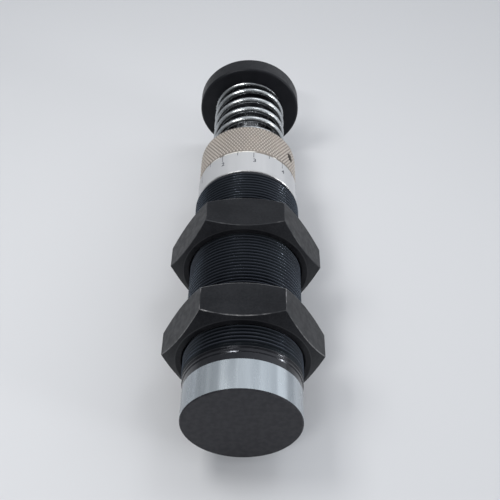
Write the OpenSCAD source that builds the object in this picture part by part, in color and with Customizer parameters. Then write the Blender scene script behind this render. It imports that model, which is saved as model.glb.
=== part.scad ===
// Adjustable industrial shock absorber with a front dial, lock nuts and an outer return spring.
// Lengths in millimetres. The long axis is +Y, +Z is up, the origin is the centre of the rear face.

/* [Barrel] */
// Major diameter of the mounting thread
thread_d = 42; // [36:0.5:50]
// Pitch of the mounting thread
thread_pitch = 1.5; // [1:0.25:2]
// Where the thread starts, from the rear face
thread_start = 17.4; // [14:0.1:24]
// Where the thread ends and the scale sleeve begins
thread_end = 103.7; // [95:0.1:110]
// Plain length left between the last thread ridge and the scale sleeve
thread_relief = 1.2; // [1:0.1:3]
// Diameter of the closed rear end
rear_d = 40.9; // [34:0.1:41.5]
// Thickness of the closed rear wall
rear_wall = 8; // [5:0.5:12]
// Diameter of the bore that holds the damping parts
bore_d = 30.4; // [30:0.1:32]
// Diameter of the front nose under the scale sleeve
nose_d = 36; // [35.5:0.1:37]
// Width of the relief groove in the smooth neck
neck_groove_w = 1.4; // [0.8:0.1:2]

/* [Labels] */
// Width of the foil band at the rear end
foil_w = 11.4; // [8:0.1:12.5]
// Thickness of the foil band and the scale label
label_t = 0.2; // [0.1:0.05:0.3]
// Outer diameter of the scale sleeve over its label
sleeve_d = 40.7; // [39:0.1:41.5]
// Width of the scale sleeve
sleeve_w = 12; // [9:0.1:13]

/* [Lock nuts] */
// Hexagon size across its flats
nut_af = 50; // [46:0.5:60]
// Nut thickness
nut_t = 16; // [8:0.5:20]
// Rear face of the rear nut, from the rear end
rear_nut_at = 25; // [19:0.1:30]
// Rear face of the front nut, from the rear end
front_nut_at = 67.4; // [60:0.1:80]
// Slope of the chamfers on the nut corners
nut_chamfer_angle = 32; // [20:1:45]
// Flat face diameter inside the chamfer
nut_face_d = 47.4; // [44:0.1:49]

/* [Adjuster] */
// Diameter over the knurl of the adjuster ring
ring_d = 40.6; // [38:0.1:41.5]
// Width of the adjuster ring
ring_w = 16.9; // [14:0.1:20]
// Depth of the spring pocket in the ring's front face
pocket_deep = 5; // [3:0.1:6]
// Radial clearance of the spring in its pocket
pocket_gap = 0.7; // [0.4:0.1:1.2]
// Thickness of the spring's seat washer
washer_t = 1; // [0.8:0.1:1.5]
// Diameter of the head where the ring is clamped on it
head_seat_d = 26.4; // [25:0.1:26.6]
// Radial clearance between the head's front neck and the spring
neck_gap = 2.9; // [2:0.1:3.4]
// Width of the O-ring groove in the head
oring_w = 3; // [2.4:0.1:3.4]
// Depth of the O-ring groove in the head
oring_deep = 1.9; // [1.5:0.1:2.2]
// Length of the rod bearing
bearing_l = 15; // [10:0.5:16]
// Thickness of the retaining ring
clip_t = 1.4; // [1:0.1:1.6]
// Set screw diameter
screw_d = 4; // [3:0.5:4.5]
// Angle of the set screw from the top, towards the right
screw_angle = 62.5; // [-100:0.5:190]
// Length of the set screw
screw_l = 6.2; // [5:0.1:6.4]

/* [Damping parts] */
// Bore of the pressure tube
tube_bore_d = 20; // [18:0.1:20.4]
// Wall of the pressure tube
tube_wall = 2.5; // [1.8:0.1:2.6]
// Wall of the metering sleeve
metering_wall = 1.84; // [1.5:0.01:2]
// Number of orifices along the stroke
orifices = 5; // [3:1:5]
// Orifice diameter
orifice_d = 1.6; // [1:0.1:1.7]
// Share of the last gap between orifices that the next one keeps
orifice_ratio = 0.8; // [0.75:0.01:0.95]
// Diameter of the return ports in front of the piston
return_port_d = 2.2; // [1.6:0.1:2.4]
// Length of the piston's land
piston_l = 8; // [6:0.5:10]
// Length of the piston's narrow nose
piston_nose_l = 4.4; // [4:0.1:5]
// Width of the piston ring
piston_ring_w = 3; // [2:0.1:4]
// Thickness of the piston ring
piston_ring_t = 0.75; // [0.5:0.05:0.8]
// Thickness of the check ring
check_t = 1.5; // [1:0.1:2]
// Diameter of the check ports
port_d = 1.5; // [1:0.1:1.5]
// Hexagon of the piston nut across its flats
piston_nut_af = 12; // [11:0.1:13]
// Height of the piston nut's hexagon
piston_nut_t = 3.7; // [3:0.1:5]
// Diameter of the rod's stub that carries the piston
stub_d = 8; // [7:0.1:8.4]
// Shallow end of the metering grooves
groove_shallow = 0.12; // [0.05:0.01:0.3]
// Deep end of the metering grooves
groove_deep = 1.15; // [0.6:0.05:1.3]
// Turn that the dial covers, in degrees
dial_turn = 296; // [270:1:334]
// Angle of the dial's zero mark from the top, towards the right
dial_zero = -103.6; // [-180:0.1:0]
// Lift of the check ring off the piston
check_lift = 0.8; // [0.4:0.1:1.2]
// Number of check ports through the piston
check_ports = 8; // [6:1:10]

/* [Rod and button] */
// Stroke of the rod
stroke = 25; // [15:1:27]
// Rod diameter
rod_d = 12; // [10:0.1:12.5]
// Strike button diameter
button_d = 45.2; // [40:0.1:50]
// Strike button thickness
button_t = 8.5; // [6:0.1:12]
// Rounding of the button's edges
button_round = 1; // [0.4:0.1:1.5]
// Hub diameter behind the button
hub_d = 18; // [16:0.1:20]
// Rear face of the button, from the rear end, with the rod out
button_at = 170.6; // [166:0.1:185]
// Length of the hub behind the button
hub_l = 6; // [4:0.1:8]

/* [Return spring] */
// Spring wire diameter
wire_d = 2.4; // [1.8:0.1:2.6]
// Mean diameter of the coils
coil_d = 29.2; // [27:0.1:29.6]
// Turns in all, both closed ends included
turns = 7; // [5:0.25:8]
// Turns over which each end closes
closing_turns = 0.9; // [0.5:0.1:1.2]
// Lead left at the tips of the spring, per turn
tip_lead = 1.6; // [1:0.1:2.6]
// Thickness that grinding leaves at the tips of the wire
tip_t = 0.15; // [0.1:0.05:1.2]
// Where the wire starts at the front, from the top towards the right
tip_angle = 64; // [0:1:360]

/* [Fits] */
// Radial clearance of a running fit
run_fit = 0.05; // [0.02:0.01:0.1]
// Radial clearance of a seated piece
seat_fit = 0.02; // [0.01:0.01:0.04]
// Axial clearance at faces that turn past each other
face_gap = 0.3; // [0.1:0.05:0.4]

/* [Hidden] */
$fn = 96;
eps = 0.01;
thread_r = thread_d / 2;
thread_depth = 0.6134 * thread_pitch;
thread_flank = thread_depth * tan(30);
thread_ridges = floor((thread_end - thread_relief - thread_start) / thread_pitch);
rear_r = rear_d / 2;
bore_r = bore_d / 2;
nose_r = nose_d / 2;
sleeve_r = sleeve_d / 2;
nose_end = thread_end + sleeve_w;
ring_at = nose_end + face_gap;
ring_end = ring_at + ring_w;
ring_r = ring_d / 2;
pocket_at = ring_end - pocket_deep;
pocket_r = (coil_d + wire_d) / 2 + pocket_gap;
spring_at = pocket_at + washer_t;
screw_at = pocket_at - screw_d / 2 - 0.7;
hub_at = button_at - hub_l;
button_end = button_at + button_t;
neck_end = hub_at - stroke - 0.1;
rod_r = rod_d / 2;
head_r = bore_r - run_fit;
neck_r = (coil_d - wire_d) / 2 - neck_gap;
head_seat_r = head_seat_d / 2;

// Damping parts, from the front backwards
head_at = thread_end - 5.7;
stop_at = head_at + 2;
clip_at = nose_end - 2 * clip_t - 0.1;
tube_r = tube_bore_d / 2;
tube_out_r = tube_r + tube_wall;
metering_r = tube_out_r + run_fit + 0.01;
metering_out_r = metering_r + metering_wall;
tube_at = rear_wall + 3.5;
tube_end = stop_at - 0.1;
piston_r = tube_r - run_fit;
piston_nose_r = rod_r * 1.22;
piston_end = stop_at - 0.1;
land_end = piston_end - piston_nose_l;
piston_at = land_end - piston_l;
ring_groove_at = (piston_at + land_end - piston_ring_w) / 2;
stub_r = stub_d / 2;
boss_r = stub_r * 1.375;
check_at = piston_at - check_t;
flange_t = 1;
flange_at = check_at - check_lift - flange_t;
piston_nut_at = flange_at - piston_nut_t;
port_circle = (piston_nose_r + tube_r) / 2 - port_d / 3;
metering_at = piston_at - stroke * 1.18;
metering_end = tube_end - piston_nose_l;
groove_w = orifice_d + 0.3;
foam_r = bore_r - 0.3;

// Orifice stations: the gaps shrink towards the end of the stroke
function orifice_share(k) = (1 - pow(orifice_ratio, k)) / (1 - pow(orifice_ratio, orifices - 1));
function orifice_at(k) = piston_at - stroke * (0.12 + 0.8 * orifice_share(k));

// Every piece is drawn along Z and laid down: Z becomes the long axis, and the top is at -Y.
module lay() {
    rotate([-90, 0, 0]) children();
}

// Solid of revolution from [radius, station] points
module turned(points) {
    rotate_extrude() polygon(points);
}

// Plain ring between two radii
module ring(inner, outer, from, to) {
    translate([0, 0, from]) difference() {
        cylinder(r = outer, h = to - from);
        translate([0, 0, -1]) cylinder(r = inner, h = to - from + 2);
    }
}

// Direction of a radial feature: 0 is the top, positive towards the right
module radial(angle, station) {
    translate([0, 0, station]) rotate([0, 0, angle - 90]) rotate([0, 90, 0]) children();
}

// Outline of one ridge of the mounting thread, the first and the last cut lower by the end chamfer
function ridge(k) = let (at = thread_start + k * thread_pitch,
    top = k == 0 || k == thread_ridges - 1 ? thread_r - 0.4 * thread_depth : thread_r)
        [[thread_r - thread_depth, at],
            [top, at + (top - thread_r + thread_depth) * tan(30)],
            [top, at + 2 * thread_flank + thread_pitch / 8 - (top - thread_r + thread_depth) * tan(30)],
            [thread_r - thread_depth, at + 2 * thread_flank + thread_pitch / 8]];

// Threaded barrel with a closed rear end and a bored front end
module barrel() {
    foil_r = rear_r - label_t;
    groove_at = thread_start - 3;
    neck_r_out = thread_r - 0.35;
    color("#2b2c2e") lay() turned([
        [0, 0], [rear_r - 0.5, 0], [rear_r, 0.4],
        [foil_r, 0.4], [foil_r, 0.4 + foil_w], [rear_r, 0.4 + foil_w],
        [neck_r_out, 1 + foil_w], [neck_r_out, groove_at],
        [neck_r_out - 0.5, groove_at + 0.3], [neck_r_out - 0.5, groove_at + neck_groove_w],
        [neck_r_out, groove_at + neck_groove_w + 0.3],
        for (k = [0:thread_ridges - 1]) each ridge(k),
        [thread_r - thread_depth, thread_end],
        [nose_r, thread_end], [nose_r, nose_end - 0.5], [nose_r - 0.5, nose_end],
        [bore_r + 0.4, nose_end], [bore_r, nose_end - 0.4],
        [bore_r, clip_at + clip_t], [bore_r + 0.9, clip_at + clip_t],
        [bore_r + 0.9, clip_at - 0.1], [bore_r, clip_at - 0.1],
        [bore_r, rear_wall], [0, rear_wall]]);
}

module rear_label_band() {
    color("#c9cccf") lay() ring(rear_r - label_t, rear_r, 0.4, 0.4 + foil_w);
}

// Hexagon with both faces turned down to a cone, and a bore with opened edges
module lock_nut(at) {
    slope = tan(nut_chamfer_angle);
    face_r = nut_face_d / 2;
    corner_r = nut_af / sqrt(3) + 1;
    drop = (corner_r - face_r) * slope;
    hole_r = thread_r + run_fit;
    mouth = 0.6;
    difference() {
        intersection() {
            translate([0, 0, at]) cylinder(d = nut_af / cos(30), h = nut_t, $fn = 6);
            turned([[0, at], [face_r, at], [corner_r, at + drop], [corner_r, at + nut_t - drop],
                [face_r, at + nut_t], [0, at + nut_t]]);
        }
        turned([[0, at - 1], [hole_r + mouth + 1, at - 1], [hole_r, at + mouth],
            [hole_r, at + nut_t - mouth], [hole_r + mouth + 1, at + nut_t + 1], [0, at + nut_t + 1]]);
    }
}

module rear_lock_nut() {
    color("#36373a") lay() lock_nut(rear_nut_at);
}

module front_lock_nut() {
    color("#36373a") lay() lock_nut(front_nut_at);
}

module scale_sleeve() {
    low_r = sleeve_r - label_t;
    color("#d9d9d6") lay() turned([
        [nose_r + seat_fit, thread_end], [sleeve_r - 0.3, thread_end], [sleeve_r, thread_end + 0.3],
        [low_r, thread_end + 0.3], [low_r, nose_end - 0.3], [sleeve_r, nose_end - 0.3],
        [sleeve_r - 0.3, nose_end], [nose_r + seat_fit, nose_end]]);
}

module scale_label() {
    color("#eeeeea") lay() ring(sleeve_r - label_t, sleeve_r, thread_end + 0.3, nose_end - 0.3);
}

// Turning ring with the spring pocket, clamped on the head by its set screw
module adjuster_ring() {
    seat_r = head_seat_r + seat_fit;
    color("#b9ad9c") lay() difference() {
        turned([
            [seat_r, ring_at], [ring_r - 0.5, ring_at], [ring_r, ring_at + 0.5],
            [ring_r, ring_end - 0.6], [ring_r - 0.6, ring_end],
            [pocket_r + 0.5, ring_end], [pocket_r, ring_end - 0.5],
            [pocket_r, pocket_at], [seat_r, pocket_at]]);
        radial(screw_angle, screw_at) cylinder(d = screw_d + 2 * seat_fit, h = ring_r + 1);
    }
}

// Socket set screw with a cone end that bites on the head
module adjuster_set_screw() {
    tip = head_seat_r + seat_fit;
    socket = screw_d / 2;
    color("#3a3a3c") lay() radial(screw_angle, screw_at) difference() {
        turned([[0, tip], [screw_d / 2 - 0.8, tip], [screw_d / 2, tip + 0.8],
            [screw_d / 2, tip + screw_l - 0.3], [screw_d / 2 - 0.3, tip + screw_l], [0, tip + screw_l]]);
        translate([0, 0, tip + screw_l - 2]) cylinder(d = socket / cos(30), h = 3, $fn = 6);
    }
}

bearing_r = rod_r + 2.5;
bearing_at = stop_at + 1.5;
seal_at = bearing_at + bearing_l + 1.2;
seal_t = 4.5;
seal_r = rod_r + 3.6;
wiper_t = 4.4;
wiper_r = rod_r + 2.6;
oring_at = (head_at + clip_at - oring_w) / 2;
key_w = metering_r / 2;
key_l = 2.2;

// Turning gland: it carries the bearing and seals, closes the barrel and drives the metering sleeve
module adjuster_head() {
    lip_r = rod_r + 0.35;
    color("#8b8f93") lay() difference() {
        turned([
            [lip_r, stop_at], [tube_out_r + run_fit, stop_at], [tube_out_r + run_fit, head_at],
            [head_r - 0.4, head_at], [head_r, head_at + 0.4],
            [head_r, oring_at], [head_r - oring_deep, oring_at],
            [head_r - oring_deep, oring_at + oring_w], [head_r, oring_at + oring_w],
            [head_r, clip_at - 0.2], [head_seat_r, clip_at - 0.2],
            [head_seat_r, pocket_at - 0.4], [head_seat_r - 0.4, pocket_at],
            [neck_r, pocket_at], [neck_r, neck_end - 0.6], [neck_r - 0.6, neck_end],
            [wiper_r, neck_end], [wiper_r, neck_end - wiper_t], [lip_r, neck_end - wiper_t],
            [lip_r, seal_at + seal_t], [seal_r, seal_at + seal_t], [seal_r, seal_at],
            [bearing_r, seal_at], [bearing_r, bearing_at], [lip_r, bearing_at]]);
        for (side = [-1, 1])
            translate([side * (metering_out_r + tube_out_r) / 2, 0, head_at + key_l / 2 + 0.05])
                cube([metering_out_r - tube_out_r + 0.8, key_w + 0.1, key_l + 0.3], center = true);
    }
}

module rod_bearing() {
    at = bearing_at + 0.1;
    bush_r = bearing_r - seat_fit;
    in_r = rod_r + run_fit;
    color("#b98b4c") lay() turned([[in_r + 0.4, at], [bush_r - 0.4, at], [bush_r, at + 0.4],
        [bush_r, at + bearing_l - 0.4], [bush_r - 0.4, at + bearing_l], [in_r + 0.4, at + bearing_l],
        [in_r, at + bearing_l - 0.4], [in_r, at + 0.4]]);
}

// U-shaped lip seal, open towards the oil
module rod_seal() {
    in_r = rod_r + run_fit;
    out_r = seal_r - seat_fit;
    mid = (in_r + out_r) / 2;
    top = seal_at + seal_t - seat_fit;
    color("#1d1f24") lay() turned([[in_r, seal_at + 0.3], [in_r + 0.7, seal_at + 0.3],
        [mid, top - 2], [out_r - 0.7, seal_at + 0.3], [out_r, seal_at + 0.3], [out_r, top],
        [in_r + 0.3, top], [in_r + 0.3, top - 1.6], [in_r, top - 2.4]]);
}

module rod_wiper() {
    in_r = rod_r + run_fit;
    out_r = wiper_r - seat_fit;
    low = neck_end - wiper_t + seat_fit;
    color("#22242a") lay() turned([[in_r + 0.4, low], [out_r, low], [out_r, neck_end - 0.9],
        [out_r - 0.7, neck_end - 0.9], [in_r + 0.5, neck_end - 0.1], [in_r, neck_end - 0.1],
        [in_r, neck_end - 1.3], [in_r + 0.4, neck_end - 2]]);
}

module head_o_ring() {
    section = oring_deep - run_fit;
    color("#1a1a1a") lay() rotate_extrude()
        translate([head_r - oring_deep + section / 2 + seat_fit, oring_at + oring_w / 2])
            circle(d = section, $fn = 48);
}

// Internal spring clip with its open gap and two eyes
module head_retaining_ring() {
    out_r = bore_r + 0.85;
    in_r = bore_r - 1.4;
    eye_r = 1.1;
    eye_at = in_r + eye_r * 0.75;
    color("#55585c") lay() translate([0, 0, clip_at]) difference() {
        union() {
            difference() {
                cylinder(r = out_r, h = clip_t - 0.1);
                translate([0, 0, -1]) cylinder(r = in_r, h = clip_t + 2);
                rotate([0, 0, 90]) translate([0, -2, -1]) cube([out_r + 1, 4, clip_t + 2]);
            }
            for (side = [-1, 1])
                rotate([0, 0, 90 + side * 11]) translate([eye_at, 0, 0])
                    cylinder(r = eye_r, h = clip_t - 0.1);
        }
        for (side = [-1, 1])
            rotate([0, 0, 90 + side * 11]) translate([eye_at, 0, -1]) cylinder(r = 0.5, h = clip_t + 2);
    }
}

// Outline of one metering groove: its depth grows evenly from the hardest to the softest setting
module groove_outline() {
    steps = 32;
    hardest = screw_angle - dial_zero - dial_turn - 90;
    outer = [for (k = [0:steps]) let (a = hardest + dial_turn * k / steps,
        r = metering_r + groove_shallow + (groove_deep - groove_shallow) * k / steps)
            [r * cos(a), r * sin(a)]];
    inner = [for (k = [steps:-1:0]) let (a = hardest + dial_turn * k / steps)
        [(metering_r - 1) * cos(a), (metering_r - 1) * sin(a)]];
    polygon(concat(outer, inner));
}

// Sleeve that turns on the pressure tube and throttles every orifice with a spiral groove
module metering_sleeve() {
    outlet = screw_angle - dial_zero - 8;
    color("#9aa0a4") lay() difference() {
        union() {
            cylinder_ring(metering_r, metering_out_r, metering_at, metering_end);
            intersection() {
                cylinder_ring(metering_r, metering_out_r, metering_end - 1, head_at + key_l);
                translate([-metering_out_r - 1, -key_w / 2, 0])
                    cube([2 * metering_out_r + 2, key_w, head_at + key_l]);
            }
        }
        for (k = [0:orifices - 1]) {
            translate([0, 0, orifice_at(k) - groove_w / 2]) linear_extrude(groove_w) groove_outline();
            radial(outlet, orifice_at(k)) cylinder(d = orifice_d, h = metering_out_r + 1);
        }
    }
}

module cylinder_ring(inner, outer, from, to) {
    turned([[inner, from], [outer, from], [outer, to], [inner, to]]);
}

// Pressure tube: orifices in one row along the stroke, return ports in front of the piston
module pressure_tube() {
    color("#a7abaf") lay() difference() {
        turned([[tube_r + 0.4, tube_at], [tube_out_r - 0.4, tube_at], [tube_out_r, tube_at + 0.4],
            [tube_out_r, tube_end - 0.4], [tube_out_r - 0.4, tube_end], [tube_r + 0.4, tube_end],
            [tube_r, tube_end - 0.4], [tube_r, tube_at + 0.4]]);
        for (k = [0:orifices - 1]) radial(0, orifice_at(k)) cylinder(d = orifice_d, h = tube_out_r + 1);
        for (a = [0:90:270]) radial(a, tube_end - 2.9) cylinder(d = return_port_d, h = tube_out_r + 1);
    }
}

module tube_end_plug() {
    spigot_r = tube_r - seat_fit;
    spigot_end = tube_at + tube_r * 0.42;
    dish_r = tube_r * 0.3;
    color("#85898d") lay() turned([[0, rear_wall], [bore_r - seat_fit, rear_wall],
        [bore_r - seat_fit, tube_at], [spigot_r, tube_at], [spigot_r, spigot_end - 0.6],
        [spigot_r - 0.6, spigot_end], [dish_r, spigot_end], [dish_r, tube_at - 1], [0, tube_at - 1.6]]);
}

module accumulator_foam() {
    color("#3d4046") lay() ring(tube_out_r + 0.2, foam_r, tube_at + 1.5, metering_at - 1.5);
}

module piston_rod() {
    color("#d5d8dc") lay() turned([
        [0, piston_nut_at - 0.8], [stub_r - 0.5, piston_nut_at - 0.8], [stub_r, piston_nut_at - 0.3],
        [stub_r, piston_end], [rod_r, piston_end], [rod_r, hub_at + 0.4], [rod_r - 1.2, hub_at + 0.4],
        [rod_r - 1.2, button_end - 3.5], [rod_r - 1.8, button_end - 2.9], [0, button_end - 2.9]]);
}

// Piston with check ports that come out beside its narrow front nose
module piston() {
    hole_r = stub_r + seat_fit;
    groove_r = piston_r - piston_ring_t;
    color("#b5833f") lay() difference() {
        turned([[hole_r, piston_at], [piston_r - 0.3, piston_at], [piston_r, piston_at + 0.3],
            [piston_r, ring_groove_at], [groove_r, ring_groove_at],
            [groove_r, ring_groove_at + piston_ring_w], [piston_r, ring_groove_at + piston_ring_w],
            [piston_r, land_end - 0.3], [piston_r - 0.3, land_end], [piston_nose_r, land_end],
            [piston_nose_r, piston_end - 0.4], [piston_nose_r - 0.4, piston_end], [hole_r, piston_end]]);
        for (k = [0:check_ports - 1])
            rotate([0, 0, 360 * k / check_ports]) translate([port_circle, 0, piston_at - 1])
                cylinder(d = port_d, h = piston_l + 2, $fn = 32);
    }
}

module piston_ring() {
    low_r = piston_r - piston_ring_t + seat_fit;
    color("#e4e2da") lay()
        ring(low_r, piston_r, ring_groove_at + seat_fit, ring_groove_at + piston_ring_w - seat_fit);
}

// Floating ring that shuts the check ports on the way in and opens them on the way out
module check_ring() {
    out_r = port_circle + port_d * 0.7;
    color("#9da2a6") lay() ring(boss_r + run_fit, out_r, check_at, check_at + check_t);
}

module piston_nut() {
    flange_r = piston_nut_af / 2 * 1.23;
    hole_r = stub_r + seat_fit;
    color("#6f7377") lay() difference() {
        union() {
            translate([0, 0, piston_nut_at])
                cylinder(d = piston_nut_af / cos(30), h = piston_nut_t + eps, $fn = 6);
            turned([[0, flange_at], [flange_r, flange_at], [flange_r, flange_at + flange_t],
                [boss_r, flange_at + flange_t], [boss_r, piston_at], [0, piston_at]]);
        }
        translate([0, 0, piston_nut_at - 1]) cylinder(r = hole_r, h = piston_at - piston_nut_at + 2);
    }
}

module spring_seat_washer() {
    color("#a9adb1") lay() ring(neck_r + 0.1, pocket_r - 0.3, pocket_at, spring_at);
}

// Station of the wire centre after t turns from the front end
spring_front = button_at + wire_d / 2 - tip_t;
spring_rear = spring_at - wire_d / 2 + tip_t;
lead = (spring_front - spring_rear - closing_turns * tip_lead) / (turns - closing_turns);
function closing(t) = t < closing_turns
    ? tip_lead * t + (lead - tip_lead) * t * t / (2 * closing_turns)
    : closing_turns * (tip_lead + lead) / 2 + lead * (t - closing_turns);
function wire_at(t) = t < turns / 2 ? spring_front - closing(t) : spring_rear + closing(turns - t);

// Right-handed wound wire whose end turns close up and are ground flat against the button and the washer.
// Each section is a circle, opened where the end's plane cuts it.
module return_spring() {
    around = 12;
    per_turn = 32;
    steps = ceil(turns * per_turn);
    half = wire_d / 2;
    points = [for (k = [0:steps]) let (t = turns * k / steps, a = tip_angle - 90 - 360 * t, at = wire_at(t),
        front = t < turns / 2, room = front ? button_at - at : at - spring_at,
        open = min(180 - 180 / around, 90 + asin(min(1, room / half))))
        for (j = [0:around - 1]) let (i = front ? j : (j + around / 2) % around,
            b = (front ? -90 : 90) + open * (2 * i + 1 - around) / (around - 1),
            r = coil_d / 2 + half * cos(b))
                [r * cos(a), r * sin(a), at + half * sin(b)]];
    sides = [for (k = [0:steps - 1], j = [0:around - 1], side = [0, 1])
        let (n = (j + 1) % around, a = k * around, b = a + around)
            side == 0 ? [a + j, b + n, b + j] : [a + j, a + n, b + n]];
    end = steps * around;
    front_cap = [for (j = [1:around - 2]) [0, j + 1, j]];
    rear_cap = [for (j = [1:around - 2]) let (o = around / 2)
        [end + o, end + (o + j) % around, end + (o + j + 1) % around]];
    color("#b9bcc0") lay() polyhedron(points, concat(sides, front_cap, rear_cap), convexity = 12);
}

module strike_button() {
    r = button_d / 2;
    h = button_round;
    hole_r = rod_r - 1.2 + seat_fit;
    color("#3b3c3e") lay() difference() {
        union() {
            rotate_extrude() {
                translate([0, button_at]) square([r - h, button_t]);
                translate([0, button_at + h]) square([r, button_t - 2 * h]);
                for (z = [button_at + h, button_end - h]) translate([r - h, z]) circle(r = h, $fn = 48);
            }
            turned([[0, hub_at], [hub_d / 2 - 0.6, hub_at], [hub_d / 2, hub_at + 0.6],
                [hub_d / 2, button_at + 1], [0, button_at + 1]]);
        }
        turned([[0, hub_at - 1], [rod_r + seat_fit, hub_at - 1], [rod_r + seat_fit, hub_at + 0.4],
            [hole_r, hub_at + 0.4], [hole_r, button_end - 2.8], [0, button_end - 2.8]]);
    }
}

barrel();
rear_label_band();
rear_lock_nut();
front_lock_nut();
scale_sleeve();
scale_label();
adjuster_ring();
adjuster_set_screw();
adjuster_head();
rod_bearing();
rod_seal();
rod_wiper();
head_o_ring();
head_retaining_ring();
metering_sleeve();
pressure_tube();
tube_end_plug();
accumulator_foam();
piston_rod();
piston();
piston_ring();
check_ring();
piston_nut();
spring_seat_washer();
return_spring();
strike_button();
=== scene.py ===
"""Dresses an adjustable industrial shock absorber: threaded barrel, lock nuts, dial, spring and button."""

import logging
import math
from dataclasses import dataclass
from enum import Enum

import bpy
from mathutils import Matrix, Vector


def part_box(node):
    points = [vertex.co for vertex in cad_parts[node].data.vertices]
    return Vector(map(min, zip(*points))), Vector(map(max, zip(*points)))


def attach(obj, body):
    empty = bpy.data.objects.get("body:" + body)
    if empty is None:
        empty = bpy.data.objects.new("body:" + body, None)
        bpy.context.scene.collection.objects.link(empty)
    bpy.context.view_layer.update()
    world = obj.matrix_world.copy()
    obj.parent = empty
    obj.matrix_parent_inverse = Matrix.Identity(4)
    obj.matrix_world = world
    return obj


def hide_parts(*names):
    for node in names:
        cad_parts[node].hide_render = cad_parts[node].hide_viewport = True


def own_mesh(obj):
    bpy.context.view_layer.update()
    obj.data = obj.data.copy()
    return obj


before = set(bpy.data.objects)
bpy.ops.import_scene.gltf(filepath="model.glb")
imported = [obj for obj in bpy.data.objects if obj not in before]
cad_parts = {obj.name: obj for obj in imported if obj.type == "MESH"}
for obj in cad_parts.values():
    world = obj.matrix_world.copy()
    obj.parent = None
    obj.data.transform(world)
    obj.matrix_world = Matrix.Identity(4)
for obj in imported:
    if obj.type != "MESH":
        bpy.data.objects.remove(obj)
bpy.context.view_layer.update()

LOG = logging.getLogger("shock_absorber")
MM = 0.001
Piece = bpy.types.Object
Socket = bpy.types.NodeSocket
Feed = Socket | float | tuple[float, ...]
Pair = tuple[float, float]
Profile = list[Pair]
Point = tuple[float, float, float]
Colour = tuple[float, float, float]


class Body(Enum):
    """Rigid bodies of the sub-assemblies."""

    BARREL = "barrel_body"
    ADJUSTER = "adjuster_body"
    ROD = "rod_body"
    REAR_NUT = "rear_nut_body"
    FRONT_NUT = "front_nut_body"


# How meshes are made


def span(node: str) -> Pair:
    """Where a node lies along the long axis.

    Args:
        node: Name of the node.

    Returns:
        Its lowest and highest station in millimetres.
    """
    low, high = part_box(node)
    return low.y / MM, high.y / MM


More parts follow.
